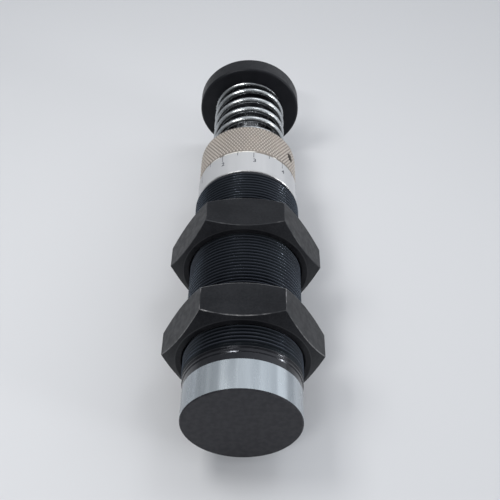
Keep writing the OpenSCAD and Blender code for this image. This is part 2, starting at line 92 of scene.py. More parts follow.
class Bench:
    """The modelling steps that the pieces share."""

    @staticmethod
    def leave() -> None:
        """Goes to object mode."""
        if bpy.context.mode != "OBJECT":
            bpy.ops.object.mode_set(mode="OBJECT")

    @classmethod
    def clear(cls) -> None:
        """Goes to object mode and deselects everything."""
        cls.leave()
        bpy.ops.object.select_all(action="DESELECT")

    @classmethod
    def pick(cls, piece: Piece) -> None:
        """Makes the piece the only selected one, and active.

        Args:
            piece: The piece to work on.
        """
        cls.clear()
        piece.select_set(True)
        bpy.context.view_layer.objects.active = piece

    @classmethod
    def edit(cls, piece: Piece) -> None:
        """Opens the piece in edit mode with all of it selected.

        Args:
            piece: The piece to work on.
        """
        cls.pick(piece)
        bpy.ops.object.mode_set(mode="EDIT")
        bpy.ops.mesh.select_all(action="SELECT")

    @staticmethod
    def named(name: str) -> Piece:
        """Names the active piece and its mesh.

        Args:
            name: The name.

        Returns:
            The piece.
        """
        piece = bpy.context.active_object
        piece.name = piece.data.name = name
        return piece

    @classmethod
    def tidy(cls, piece: Piece, smooth_angle: float = 32.0) -> Piece:
        """Merges doubles, turns the faces outwards and shades the piece smooth up to an angle.

        Args:
            piece: The piece to finish.
            smooth_angle: Sharpest angle in degrees that is still shaded smooth.

        Returns:
            The same piece.
        """
        cls.edit(piece)
        bpy.ops.mesh.remove_doubles(threshold=2e-6)
        bpy.ops.mesh.normals_make_consistent(inside=False)
        cls.leave()
        bpy.ops.object.shade_smooth_by_angle(angle=math.radians(smooth_angle))
        return piece

    @staticmethod
    def rounded(points: Profile, size: float, steps: int = 3) -> Profile:
        """Rounds the corners of an open chain, its two ends left sharp.

        Args:
            points: Corners of the chain, in millimetres.
            size: Radius of the rounding, less where the sides are short.
            steps: Faces of each rounding.

        Returns:
            The chain with its corners rounded.
        """
        straight, most = math.radians(84), 0.45
        chain = [points[0]]
        for before, corner, after in zip(points, points[1:], points[2:], strict=False):
            at, a, b = Vector(corner), Vector(before), Vector(after)
            back, ahead = (a - at).normalized(), (b - at).normalized()
            half = back.angle(ahead) / 2
            if half > straight:
                chain.append(corner)
                continue
            reach = min(size / math.tan(half), (a - at).length * most, (b - at).length * most)
            first, last = at + back * reach, at + ahead * reach
            for k in range(steps + 1):
                t = k / steps
                spot = first * (1 - t) ** 2 + at * 2 * t * (1 - t) + last * t * t
                chain.append((spot.x, spot.y))
        return [*chain, points[-1]]

    @classmethod
    def draw(cls, name: str, points: Profile) -> Piece:
        """Draws a chain of edges in the plane through the axis.

        Args:
            name: Name of the new piece.
            points: Radius and station of each corner, in millimetres.

        Returns:
            The piece, in edit mode, with the chain in it.
        """
        cls.clear()
        bpy.ops.mesh.primitive_plane_add(size=MM, location=(0, 0, 0))
        piece = cls.named(name)
        cls.edit(piece)
        bpy.ops.mesh.merge(type="CENTER")
        bpy.ops.transform.translate(value=(points[0][0] * MM, points[0][1] * MM, 0))
        for (r0, s0), (r1, s1) in zip(points, points[1:], strict=False):
            step = ((r1 - r0) * MM, (s1 - s0) * MM, 0)
            bpy.ops.mesh.extrude_vertices_move(TRANSFORM_OT_translate={"value": step})
        return piece

    @classmethod
    def turn(cls, name: str, points: Profile, steps: int = 144, smooth_angle: float = 32.0) -> Piece:
        """Turns a closed profile round the long axis.

        Args:
            name: Name of the new piece.
            points: Corners of the profile; it is closed back to the first.
            steps: Faces round the axis.
            smooth_angle: Sharpest angle in degrees that is still shaded smooth.

        Returns:
            The turned piece.
        """
        piece = cls.draw(name, [*points, points[0]])
        bpy.ops.mesh.select_all(action="SELECT")
        bpy.ops.mesh.spin(steps=steps, angle=2 * math.pi, center=(0, 0, 0), axis=(0, 1, 0))
        return cls.tidy(piece, smooth_angle)

    @classmethod
    def apply(cls, piece: Piece, kind: str, **settings: object) -> None:
        """Adds a modifier with its settings and applies it.

        Args:
            piece: The piece to change.
            kind: The modifier's type.
            settings: Its settings by name.
        """
        cls.pick(piece)
        modifier = piece.modifiers.new(kind.lower(), kind)
        for key, value in settings.items():
            setattr(modifier, key, value)
        bpy.ops.object.modifier_apply(modifier=modifier.name)

    @classmethod
    def cut(cls, piece: Piece, tool: Piece, operation: str = "DIFFERENCE", solver: str = "EXACT") -> None:
        """Cuts the piece with a tool solid and throws the tool away.

        Args:
            piece: The piece to cut.
            tool: The solid to cut with.
            operation: Boolean operation.
            solver: Boolean solver.
        """
        cls.apply(piece, "BOOLEAN", object=tool, operation=operation, solver=solver)
        bpy.data.objects.remove(tool, do_unlink=True)

    @classmethod
    def grind(cls, piece: Piece, station: float, keep_front: bool) -> None:
        """Cuts the piece square to the axis, drops one side and closes the cut.

        Args:
            piece: The piece to cut.
            station: Where the cut lies, in millimetres.
            keep_front: Keeps the side towards the button if true, else the side towards the rear.
        """
        cls.edit(piece)
        plane = {"plane_co": (0, station * MM, 0), "plane_no": (0, 1, 0)}
        bpy.ops.mesh.bisect(**plane, use_fill=True, clear_inner=keep_front, clear_outer=not keep_front)
        cls.leave()

    @classmethod
    def soften(cls, piece: Piece, width: float, angle: float, edge_slot: int) -> None:
        """Rounds the sharp edges a little.

        Args:
            piece: The piece to change.
            width: Width of the rounding in millimetres.
            angle: Edges sharper than this, in degrees, are rounded.
            edge_slot: Material slot that the rounded strips take.
        """
        strips = {"width": width * MM, "segments": 3, "material": edge_slot}
        cls.apply(piece, "BEVEL", limit_method="ANGLE", angle_limit=math.radians(angle), **strips)
        cls.pick(piece)
        bpy.ops.object.shade_smooth_by_angle(angle=math.radians(30))
        cls.apply(piece, "WEIGHTED_NORMAL", keep_sharp=True)

    @classmethod
    def join(cls, name: str, pieces: list[Piece]) -> Piece:
        """Joins pieces into one.

        Args:
            name: Name of the result.
            pieces: What to join.

        Returns:
            The joined piece.
        """
        cls.pick(pieces[0])
        for piece in pieces:
            piece.select_set(True)
        bpy.ops.object.join()
        return cls.named(name)


# Finishes


class Nodes:
    """Builds a node tree."""

    def __init__(self, tree: bpy.types.NodeTree) -> None:
        """Takes the tree to build in."""
        self.tree = tree

    def feed(self, target: Socket, value: Feed) -> None:
        """Links a socket to an input, or gives the input a number, a vector or an opaque colour.

        Args:
            target: The input.
            value: What it gets.
        """
        if isinstance(value, Socket):
            self.tree.links.new(value, target)
        elif isinstance(value, tuple):
            target.default_value = (*value, 1)[: len(target.default_value)]
        else:
            target.default_value = value

    def node(self, kind: str, inputs: dict[str | int, Feed], **settings: object) -> bpy.types.Node:
        """Adds a node.

        Args:
            kind: Its type, less the ShaderNode in front.
            inputs: What its inputs get, by name or number.
            settings: Its properties by name.

        Returns:
            The node.
        """
        made = self.tree.nodes.new("ShaderNode" + kind)
        for key, value in settings.items():
            setattr(made, key, value)
        for key, value in inputs.items():
            self.feed(made.inputs[key], value)
        return made

    def spread(
        self, source: Socket, low: float, high: float, to_low: float = 0.0, to_high: float = 1.0,
        easing: str = "SMOOTHSTEP",
    ) -> Socket:
        """Maps a range onto another, clamped.

        Args:
            source: Value to map.
            low: Value that gives to_low.
            high: Value that gives to_high.
            to_low: Result at low.
            to_high: Result at high.
            easing: How it changes in between.

        Returns:
            The mapped value.
        """
        inputs = {"Value": source, "From Min": low, "From Max": high, "To Min": to_low, "To Max": to_high}
        return self.node("MapRange", inputs, interpolation_type=easing).outputs["Result"]

    def maths(self, operation: str, a: Socket, b: Socket | float) -> Socket:
        """Joins two values by a Math operation."""
        return self.node("Math", {0: a, 1: b}, operation=operation).outputs["Value"]


class Shades(Nodes):
    """Builds one material's nodes. Patterns are in millimetres of the object's own coordinates."""

    def __init__(self, name: str) -> None:
        """Starts a material that isn't metal.

        Args:
            name: Name of the material.
        """
        self.material = bpy.data.materials.new(name)
        self.material.use_nodes = True
        super().__init__(self.material.node_tree)
        self.surface = self.tree.nodes["Principled BSDF"].inputs

    def place(self, scale: Point = (1, 1, 1)) -> Socket:
        """The point on the object in millimetres.

        Args:
            scale: Stretch of the pattern along each axis.

        Returns:
            The vector socket.
        """
        coords = self.node("TexCoord", {}).outputs["Object"]
        inputs = {"Vector": coords, "Scale": tuple(k / MM for k in scale)}
        return self.node("Mapping", inputs).outputs["Vector"]

    def noise(self, per_mm: float, detail: float = 4.0, stretch: Point = (1, 1, 1)) -> Socket:
        """Noise from 0 to 1.

        Args:
            per_mm: Features per millimetre.
            detail: Octaves.
            stretch: Stretch of the pattern along each axis.

        Returns:
            The value socket.
        """
        inputs = {"Vector": self.place(stretch), "Scale": per_mm, "Detail": detail}
        return self.node("TexNoise", inputs).outputs["Fac"]

    def blend(self, amount: Socket, a: Socket | Colour, b: Socket | Colour) -> Socket:
        """Mixes two colours: an amount of 0 gives the first, 1 the second."""
        return self.node("Mix", {0: amount, 6: a, 7: b}, data_type="RGBA").outputs[2]

    def off_axis(self) -> Socket:
        """Distance from the long axis in millimetres."""
        return self.node("VectorMath", {0: self.place((1, 0, 1))}, operation="LENGTH").outputs["Value"]

    def station(self) -> Socket:
        """Place along the long axis in millimetres."""
        return self.node("SeparateXYZ", {0: self.place()}).outputs["Y"]

    def colour(self, source: Socket) -> None:
        """Gives the surface its colour."""
        self.feed(self.surface["Base Color"], source)

    def roughness(self, source: Socket) -> None:
        """Gives the surface its roughness."""
        self.feed(self.surface["Roughness"], source)

    def metallic(self, source: Socket | float) -> None:
        """Gives the surface its share of bare metal, from 0 to 1."""
        self.feed(self.surface["Metallic"], source)

    def sheen_of(self, level: float, tint: Colour = (1.0, 1.0, 1.0)) -> None:
        """Sets how strongly (0.5 is common) and in what tint a surface that isn't metal mirrors."""
        self.feed(self.surface["Specular IOR Level"], level)
        self.feed(self.surface["Specular Tint"], tint)

    def relief(self, source: Socket, depth: float, strength: float = 0.6) -> None:
        """Gives the surface fine relief.

        Args:
            source: Height from 0 to 1.
            depth: Height of the relief in millimetres.
            strength: How strongly it shades.
        """
        bump = self.node("Bump", {"Height": source, "Strength": strength, "Distance": depth * MM})
        self.feed(self.surface["Normal"], bump.outputs["Normal"])


DRAWN: dict[str, bpy.types.Material] = {}
COOL_TINT: Colour = (0.88, 0.93, 1.0)


@dataclass(frozen=True)
class Finish:
    """A finish that pieces share. Each kind draws its own pattern."""

    name: str

    def draw(self, s: Shades) -> None:
        """Draws the pattern.

        Args:
            s: The material's nodes.
        """
        raise NotImplementedError

    def material(self) -> bpy.types.Material:
        """Builds the material on first use.

        Returns:
            The material.
        """
        if self.name not in DRAWN:
            shades = Shades(self.name)
            self.draw(shades)
            DRAWN[self.name] = shades.material
        return DRAWN[self.name]


@dataclass(frozen=True)
class BlackOxide(Finish):
    """Blackened steel: dark, slightly uneven, with a light haze of handling and fine grain."""

    dark: Colour
    light: Colour
    gloss: Pair
    grain: float
    mirror: float = 0.31

    def draw(self, s: Shades) -> None:
        """Draws the pattern.

        Args:
            s: The material's nodes.
        """
        s.sheen_of(self.mirror, COOL_TINT)
        both = s.maths("MULTIPLY", s.maths("ADD", s.noise(0.11, 5.0), s.noise(1.7, 6.0)), 0.5)
        s.colour(s.blend(s.spread(both, 0.36, 0.64), self.dark, self.light))
        s.roughness(s.spread(s.noise(0.45, 5.0), 0.3, 0.7, *self.gloss))
        s.relief(s.noise(3.2, 5.0), self.grain)


@dataclass(frozen=True)
class RubbedEdge(Finish):
    """Edge of a blackened piece, rubbed through to the steel here and there, but only far from the axis."""

    dark: Colour
    bare: Colour
    share: float
    inner: float = 24.1
    outer: float = 24.5

    def draw(self, s: Shades) -> None:
        """Draws the pattern.

        Args:
            s: The material's nodes.
        """
        s.sheen_of(0.34, COOL_TINT)
        patch = s.spread(s.noise(0.13, 2.0), self.share, self.share + 0.2)
        nick = s.spread(s.noise(0.7, 5.0), 0.3, 0.62, 0.25, 1.0)
        far = s.spread(s.off_axis(), self.inner, self.outer)
        worn = s.maths("MULTIPLY", s.maths("MULTIPLY", patch, nick), far)
        s.colour(s.blend(worn, self.dark, self.bare))
        s.roughness(s.spread(worn, 0.0, 1.0, 0.45, 0.36))
        s.metallic(s.spread(worn, 0.3, 1.0, 0.0, 0.8))
        s.relief(s.noise(4.0), 0.01)


@dataclass(frozen=True)
class ThreadBlack(Finish):
    """Oiled black thread: crests rubbed slightly lighter, dark roots."""

    root: float
    crest: float
    deep: Colour = (0.0009, 0.0012, 0.0022)
    rubbed: Colour = (0.060, 0.066, 0.082)

    def draw(self, s: Shades) -> None:
        """Draws the pattern.

        Args:
            s: The material's nodes.
        """
        s.sheen_of(0.36, (0.74, 0.88, 1.0))
        height = s.spread(s.off_axis(), self.root + 0.6 * (self.crest - self.root), self.crest - 0.03)
        top = s.maths("MULTIPLY", height, s.spread(s.noise(0.2, 3.0), 0.3, 0.7, 0.7, 1.0))
        s.colour(s.blend(top, self.deep, self.rubbed))
        s.metallic(top)
        s.roughness(s.spread(s.noise(0.25, 3.0), 0.3, 0.7, 0.17, 0.25))


@dataclass(frozen=True)
class NeckBlack(Finish):
    """Burnished black barrel: glossy round the neck, matt and mottled on the rear face."""

    face: float = 0.3
    glossy: tuple[Colour, Colour] = ((0.0022, 0.0022, 0.0034), (0.0055, 0.0055, 0.0072))
    matt: tuple[Colour, Colour] = ((0.0110, 0.0104, 0.0126), (0.0215, 0.0203, 0.0232))

    def draw(self, s: Shades) -> None:
        """Draws the pattern.

        Args:
            s: The material's nodes.
        """
        s.sheen_of(0.4, (0.88, 0.92, 1.0))
        behind = s.spread(s.station(), 2 * self.face, self.face)
        mottle = s.spread(s.noise(0.5, 6.0), 0.34, 0.66)
        s.colour(s.blend(behind, s.blend(mottle, *self.glossy), s.blend(mottle, *self.matt)))
        s.roughness(s.spread(behind, 0.0, 1.0, 0.16, 0.55))
        s.relief(s.noise(1.4, 3.0), 0.004, 0.08)


@dataclass(frozen=True)
class Foil(Finish):
    """Film label: soft lighter and darker bands along the axis, a painted reflection of film that lies
    unevenly.
    """

    # Colours between which the painted reflection bands run.
    tone: Colour = (0.43, 0.47, 0.503)
    dull: Colour = (0.30, 0.332, 0.360)
    metal: float = 0.75
    gloss: Pair = (0.21, 0.31)

    def draw(self, s: Shades) -> None:
        """Draws the pattern.

        Args:
            s: The material's nodes.
        """
        s.metallic(self.metal)
        # Painted reflection: lighter and darker bands along the axis, with finer streaks, stand in for what
        # the uneven film reflects.
        bands = s.spread(s.noise(0.17, 2.0, (1, 0.03, 1)), 0.34, 0.64)
        fine = s.spread(s.noise(2.0, 4.0, (1, 0.1, 1)), 0.3, 0.7, 0.85, 1.0)
        s.colour(s.blend(s.maths("MULTIPLY", bands, fine), self.dull, self.tone))
        s.roughness(s.spread(s.noise(0.3, 4.0, (1, 0.15, 1)), 0.3, 0.7, *self.gloss))
        s.relief(s.noise(0.4, 2.0, (1, 0.25, 1)), 0.02, 0.15)


@dataclass(frozen=True)
class Ink(Finish):
    """Printed black ink, slightly uneven."""

    def draw(self, s: Shades) -> None:
        """Draws the pattern.

        Args:
            s: The material's nodes.
        """
        s.colour(s.blend(s.spread(s.noise(4.0, 3.0), 0.35, 0.7), (0.018, 0.02, 0.03), (0.07, 0.075, 0.09)))
        s.roughness(s.spread(s.noise(2.0, 2.0), 0.3, 0.7, 0.42, 0.58))


@dataclass(frozen=True)
class SatinNickel(Finish):
    """Warm satin nickel over a knurl: painted shade darkens the valleys below the lighter points; along the
    rims, bare rubbed patches that are also painted highlight for glints.
    """

    valley: float
    crest: float
    rear: float
    front: float
    edge: Pair = (19.5, 19.7)
    # Colour of the valleys, darkened as painted shade, and colour of the points.
    dull: Colour = (0.20, 0.178, 0.158)
    bright: Colour = (0.56, 0.505, 0.455)
    stained: Colour = (0.37, 0.318, 0.27)
    # Colour of the rubbed rims, which also stands in for glints as painted highlight.
    bare: Colour = (0.8, 0.785, 0.75)

    def draw(self, s: Shades) -> None:
        """Draws the pattern.

        Args:
            s: The material's nodes.
        """
        s.metallic(0.3)
        # Painted shade: the colour darkens from the knurl's points into its valleys, by radius alone.
        warm = s.blend(s.spread(s.off_axis(), self.valley, self.crest - 0.04), self.dull, self.bright)
        body = s.blend(s.spread(s.noise(0.12), 0.42, 0.7, 0.0, 0.4), warm, self.stained)
        # Bare patches along both rims, fainter at the front: rubbed wear, and also painted highlight for the
        # thin glints along the rear rim.
        near_rear = s.spread(s.station(), self.rear + 0.75, self.rear + 0.35)
        near_front = s.spread(s.station(), self.front - 0.55, self.front - 0.3, 0.0, 0.4)
        ends = s.maths("MAXIMUM", near_rear, near_front)
        rim = s.maths("MULTIPLY", ends, s.spread(s.off_axis(), *self.edge))
        nick = s.maths("MULTIPLY", rim, s.spread(s.noise(0.22, 2.0), 0.5, 0.6))
        s.colour(s.blend(nick, body, self.bare))
        s.roughness(s.spread(s.noise(0.7), 0.3, 0.7, 0.4, 0.54))
        s.relief(s.noise(4.5), 0.012, 0.4)


@dataclass(frozen=True)
class Wire(Finish):
    """Bright zinc on drawn wire, with painted shade darkening its flanks and the inside of the coil."""

    # Radii of the painted shade: darkest at the first and below it, gone at the second.
    flank: float = 14.7
    crest: float = 15.5

    def draw(self, s: Shades) -> None:
        """Draws the pattern.

        Args:
            s: The material's nodes.
        """
        s.metallic(1.0)
        bright = s.blend(s.spread(s.noise(0.5, 2.0), 0.32, 0.68), (0.43, 0.45, 0.462), (0.53, 0.55, 0.565))
        # Painted shade: the wire's colour darkens to about a third towards the inside of the coil, by radius
        # alone.
        outside = s.spread(s.off_axis(), self.flank, self.crest, 0.36, 1.0)
        s.colour(s.blend(outside, (0.0, 0.0, 0.0), bright))
        s.roughness(s.spread(s.noise(0.4, 2.0), 0.3, 0.7, 0.23, 0.29))


@dataclass(frozen=True)
class Chrome(Finish):
    """Ground hard chrome with faint lines round the rod."""

    def draw(self, s: Shades) -> None:
        """Draws the pattern.

        Args:
            s: The material's nodes.
        """
        s.metallic(1.0)
        s.colour(s.blend(s.spread(s.noise(0.4, 3.0), 0.3, 0.7), (0.66, 0.68, 0.71), (0.78, 0.79, 0.81)))
        s.roughness(s.spread(s.noise(1.0, 5.0, (0.2, 6, 0.2)), 0.3, 0.7, 0.12, 0.2))
        s.relief(s.noise(1.5, 3.0, (0.2, 8, 0.2)), 0.002, 0.3)


@dataclass(frozen=True)
class TurnedMetal(Finish):
    """Turned metal with fine tool lines and an oil film."""

    tone: Colour = (0.52, 0.53, 0.54)
    dull: Colour = (0.34, 0.345, 0.35)
    gloss: Pair = (0.26, 0.42)

    def draw(self, s: Shades) -> None:
        """Draws the pattern.

        Args:
            s: The material's nodes.
        """
        s.metallic(1.0)
        lines = s.noise(1.2, 4.0, (0.15, 5, 0.15))
        s.colour(s.blend(s.spread(lines, 0.34, 0.66), self.dull, self.tone))
        s.roughness(s.spread(s.noise(0.6), 0.3, 0.7, *self.gloss))
        s.relief(lines, 0.004, 0.4)


@dataclass(frozen=True)
class SoftBlack(Finish):
    """Rubber or foam, with its own grain."""

    dark: Colour = (0.012, 0.012, 0.013)
    light: Colour = (0.03, 0.03, 0.032)
    per_mm: float = 2.5
    depth: float = 0.02

    def draw(self, s: Shades) -> None:
        """Draws the pattern.

        Args:
            s: The material's nodes.
        """
        grain = s.noise(self.per_mm)
        s.colour(s.blend(s.spread(grain, 0.34, 0.66), self.dark, self.light))
        s.roughness(s.spread(grain, 0.3, 0.7, 0.5, 0.72))
        s.relief(grain, self.depth)


@dataclass(frozen=True)
class Polymer(Finish):
    """Pale low-friction polymer."""

    def draw(self, s: Shades) -> None:
        """Draws the pattern.

        Args:
            s: The material's nodes.
        """
        s.colour(s.blend(s.spread(s.noise(0.8), 0.3, 0.7), (0.62, 0.6, 0.55), (0.76, 0.745, 0.7)))
        s.roughness(s.spread(s.noise(1.4, 3.0), 0.3, 0.7, 0.38, 0.52))


OXIDE_NUT = BlackOxide(
    "oxide_nut", (0.0066, 0.0068, 0.0082), (0.0138, 0.0141, 0.0162), (0.32, 0.44), grain=0.016, mirror=0.15
)
OXIDE_SCREW = BlackOxide("oxide_screw", (0.02, 0.02, 0.021), (0.05, 0.05, 0.05), (0.34, 0.5), grain=0.01)
OXIDE_BUTTON = BlackOxide(
    "oxide_button", (0.0030, 0.0029, 0.0042), (0.0068, 0.0066, 0.0088), (0.36, 0.48), grain=0.01, mirror=0.26
)
RUBBED_NUT = RubbedEdge("rubbed_nut_edge", (0.012, 0.012, 0.0135), (0.17, 0.168, 0.17), share=0.5)
RUBBED_REAR_NUT = RubbedEdge("rubbed_rear_nut_edge", (0.012, 0.012, 0.0135), (0.2, 0.198, 0.2), share=0.34)
TURNED_STEEL = TurnedMetal("turned_steel")
DARK_STEEL = TurnedMetal("dark_spring_steel", (0.22, 0.22, 0.23), (0.12, 0.12, 0.125), (0.3, 0.46))
BRONZE = TurnedMetal("turned_bronze", (0.66, 0.45, 0.2), (0.46, 0.29, 0.12), (0.24, 0.4))
SLEEVE_METAL = TurnedMetal("sleeve_satin", (0.5, 0.5, 0.5), (0.4, 0.4, 0.4), (0.36, 0.5))
SEAL = SoftBlack("nitrile")
FOAM = SoftBlack("cell_foam", (0.04, 0.042, 0.046), (0.09, 0.093, 0.1), per_mm=1.4, depth=0.15)
# Both films carry the painted reflection bands, the scale's only faintly.
REAR_FOIL = Foil("rear_foil")
SCALE_FILM = Foil("scale_film", (0.45, 0.454, 0.467), (0.41, 0.415, 0.428), metal=0.06, gloss=(0.4, 0.5))
INK = Ink("dial_ink")
# The spring's wire, with its painted shade towards the inside of the coil.
WIRE = Wire("bright_zinc")
CHROME = Chrome("ground_chrome")
POLYMER = Polymer("pale_ptfe")


def dress(piece: Piece, *finishes: Finish) -> None:
    """Gives a piece its finishes, in slot order.

    Args:
        piece: The piece to dress.
        finishes: The finishes.
    """
    piece.data.materials.clear()
    for finish in finishes:
        piece.data.materials.append(finish.material())


# Sub-assemblies


@dataclass
class Assembly:
    """Base of the sub-assemblies: seats and dresses pieces, and reports them."""

    body: Body

    def seat(self, piece: Piece, slot: str, *stands_for: str) -> None:
        """Lets a new piece ride on the body.

        Args:
            piece: The finished and dressed mesh.
            slot: Name of a material slot; not used.
            stands_for: Nodes that it is shown in place of.
        """
        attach(piece, self.body.value)
        if stands_for:
            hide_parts(*stands_for)
        LOG.info("%s: %d faces on %s", piece.name, len(piece.data.polygons), self.body.value)

    def keep(self, finish: Finish, *nodes: str) -> None:
        """Leaves nodes as they are and gives them their finish.

        Args:
            finish: The finish.
            nodes: Names of the nodes.
        """
        for name in nodes:
            dress(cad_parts[name], finish)
            LOG.info("%s: kept, %s", name, finish.name)


@dataclass
class Barrel(Assembly):
    """Threaded barrel with its closed rear end, smooth neck and front nose. Lengths in millimetres."""

    body: Body = Body.BARREL
    pitch: float = 1.5
    crest: float = 21.0
    depth: float = 0.92
    thread_from: float = 17.4
    thread_to: float = 103.7
    flank: float = 0.54  # of the ridge, along the axis
    land: float = 0.15  # of its crest
    foot: float = 0.05  # of its eased root
    relief: float = 1.2  # plain run in front of the thread
    per_turn: int = 72
    overlap: float = 0.01  # of the core above the thread's root
    sunk: float = 0.08  # of the ridge below it
    ease: float = 0.04  # of the ridge's corners
    rear: float = 20.45
    rear_edge: float = 0.42
    foil_deep: float = 0.2
    foil_from: float = 0.4
    foil_to: float = 11.8
    step_at: float = 14.4  # where the rear end steps up to the neck
    neck: float = 20.75
    neck_from: float = 14.74
    neck_to: float = 16.9
    groove: float = 20.25
    groove_from: float = 15.3
    groove_to: float = 16.66
    floor_from: float = 15.6
    floor_to: float = 16.1
    wall: float = 8.0
    bore: float = 15.2
    bore_edge: float = 0.4
    nose: float = 18.0
    nose_edge: float = 0.5
    clip_back: float = 3.0  # from the front end to the rear side of the retaining ring's groove
    clip_wide: float = 1.5
    clip_deep: float = 0.9

    @property
    def root(self) -> float:
        """Radius at the bottom of the thread."""
        return self.crest - self.depth

    def core(self) -> Piece:
        """Turns the barrel without its thread.

        Returns:
            The core, which the thread's ridge sinks into.
        """
        under, label = self.root + self.overlap, self.rear - self.foil_deep
        low, end = span("barrel")
        clip, clip_floor = end - self.clip_back, self.bore + self.clip_deep
        outside = [
            (0, low), (self.rear - self.rear_edge, low), (self.rear, low + self.foil_from),
            (label, low + self.foil_from), (label, self.foil_to), (self.rear, self.foil_to),
            (self.rear, self.step_at), (self.neck, self.neck_from), (self.neck, self.groove_from),
            (self.groove, self.floor_from), (self.groove, self.floor_to), (self.neck, self.groove_to),
            (self.neck, self.neck_to), (under, self.thread_from), (under, self.thread_to),
        ]
        inside = [
            (self.nose, self.thread_to), (self.nose, end - self.nose_edge), (self.nose - self.nose_edge, end),
            (self.bore + self.bore_edge, end), (self.bore, end - self.bore_edge),
            (self.bore, clip + self.clip_wide), (clip_floor, clip + self.clip_wide),
            (clip_floor, clip), (self.bore, clip), (self.bore, self.wall), (0, self.wall),
        ]
        core = Bench.turn("barrel_core", [*Bench.rounded(outside, 0.1), *inside])
        Bench.apply(core, "WEIGHTED_NORMAL", keep_sharp=True)
        return core

    def ridge(self) -> Profile:
        """One turn's section of the thread, its corners eased.

        Returns:
            The closed section.
        """
        under, width = self.root - self.sunk, 2 * self.flank + self.land
        rear = [
            (self.root, 0.0), (self.root + self.ease, self.foot),
            (self.crest - self.ease, self.flank - self.ease), (self.crest, self.flank),
        ]
        front = [(radius, width - along) for radius, along in reversed(rear)]
        section = [(under, 0.0), *rear, *front, (under, width), (under, 0.0)]
        return [(radius, self.thread_from - self.pitch + along) for radius, along in section]

    def thread(self) -> Piece:
        """Winds the thread's ridge and trims it to a chamfered outline.

        Returns:
            The ridge.
        """
        piece = Bench.tidy(Bench.draw("barrel_thread", self.ridge()))
        turns = math.ceil((self.thread_to - self.thread_from) / self.pitch) + 2
        winding = {"axis": "Y", "screw_offset": self.pitch * MM, "iterations": turns}
        Bench.apply(piece, "SCREW", steps=self.per_turn, render_steps=self.per_turn, **winding)
        Bench.edit(piece)
        bpy.ops.mesh.remove_doubles(threshold=1e-7)
        bpy.ops.mesh.select_all(action="DESELECT")
        bpy.ops.mesh.select_non_manifold()
        bpy.ops.mesh.fill_holes(sides=0)
        bpy.ops.mesh.select_all(action="SELECT")
        bpy.ops.mesh.normals_make_consistent(inside=False)
        low, high = self.thread_from, self.thread_to - self.relief
        root, out, under = self.root, self.crest + 0.01, self.root - 0.2
        outline = Bench.turn(
            "thread_outline",
            [(under, low), (root, low), (out, low + out - root), (out, high - out + root), (root, high),
             (under, high)],
        )
        Bench.cut(piece, outline, "INTERSECT", "MANIFOLD")
        Bench.pick(piece)
        bpy.ops.object.shade_smooth_by_angle(angle=math.radians(42))
        return piece

    def build(self) -> None:
        """Builds the barrel, its foil band and the parts held in it."""
        core, thread = self.core(), self.thread()
        dress(core, NeckBlack("neck_black"))
        dress(thread, ThreadBlack("thread_black", self.root, self.crest))
        self.seat(Bench.join("barrel_dressed", [core, thread]), "black_oxide", "barrel")
        self.keep(REAR_FOIL, "rear_label_band")
        self.keep(TURNED_STEEL, "pressure_tube", "tube_end_plug")
        self.keep(DARK_STEEL, "head_retaining_ring")
        self.keep(FOAM, "accumulator_foam")


@dataclass
class LockNut(Assembly):
    """Hexagon lock nut, turned to a cone on both faces. Lengths in millimetres."""

    node: str
    worn: RubbedEdge
    across_flats: float = 50.0
    face: float = 23.7
    slope: float = 32.0
    hole: float = 21.05
    mouth: float = 0.6
    edge: float = 0.22
    past: float = 1.0  # how far the cutting tools reach beyond the nut

    def build(self) -> None:
        """Cuts the hexagon to the turned outline, bores it and rubs its edges."""
        low, high = span(self.node)
        rear, front = low - self.past, high + self.past
        corner = self.across_flats / math.sqrt(3)
        Bench.clear()
        bpy.ops.mesh.primitive_cylinder_add(
            vertices=6, radius=corner * MM, depth=(high - low) * MM, location=(0, (low + high) / 2 * MM, 0),
            rotation=(math.pi / 2, math.pi / 6, 0),
        )
        nut = Bench.named(self.node + "_dressed")
        bpy.ops.object.transform_apply(location=True, rotation=True, scale=True)
        out, centre = corner + 2 * self.past, self.face - 1.6 * self.past
        drop = (out - self.face) * math.tan(math.radians(self.slope))
        cone = Bench.turn(
            "nut_outline",
            [(0, rear), (centre, rear), (self.face, low), (out, low + drop), (out, high - drop),
             (self.face, high), (centre, front), (0, front)],
            steps=180,
        )
        Bench.cut(nut, cone, "INTERSECT")
        wide = self.hole + self.mouth + self.past
        drill = Bench.turn(
            "nut_bore",
            [(0, rear), (wide, rear), (self.hole, low + self.mouth), (self.hole, high - self.mouth),
             (wide, front), (0, front)],
        )
        Bench.cut(nut, drill)
        Bench.tidy(nut)
        dress(nut, OXIDE_NUT, self.worn)
        Bench.soften(nut, self.edge, 25, edge_slot=1)
        self.seat(nut, "nut_black", self.node)


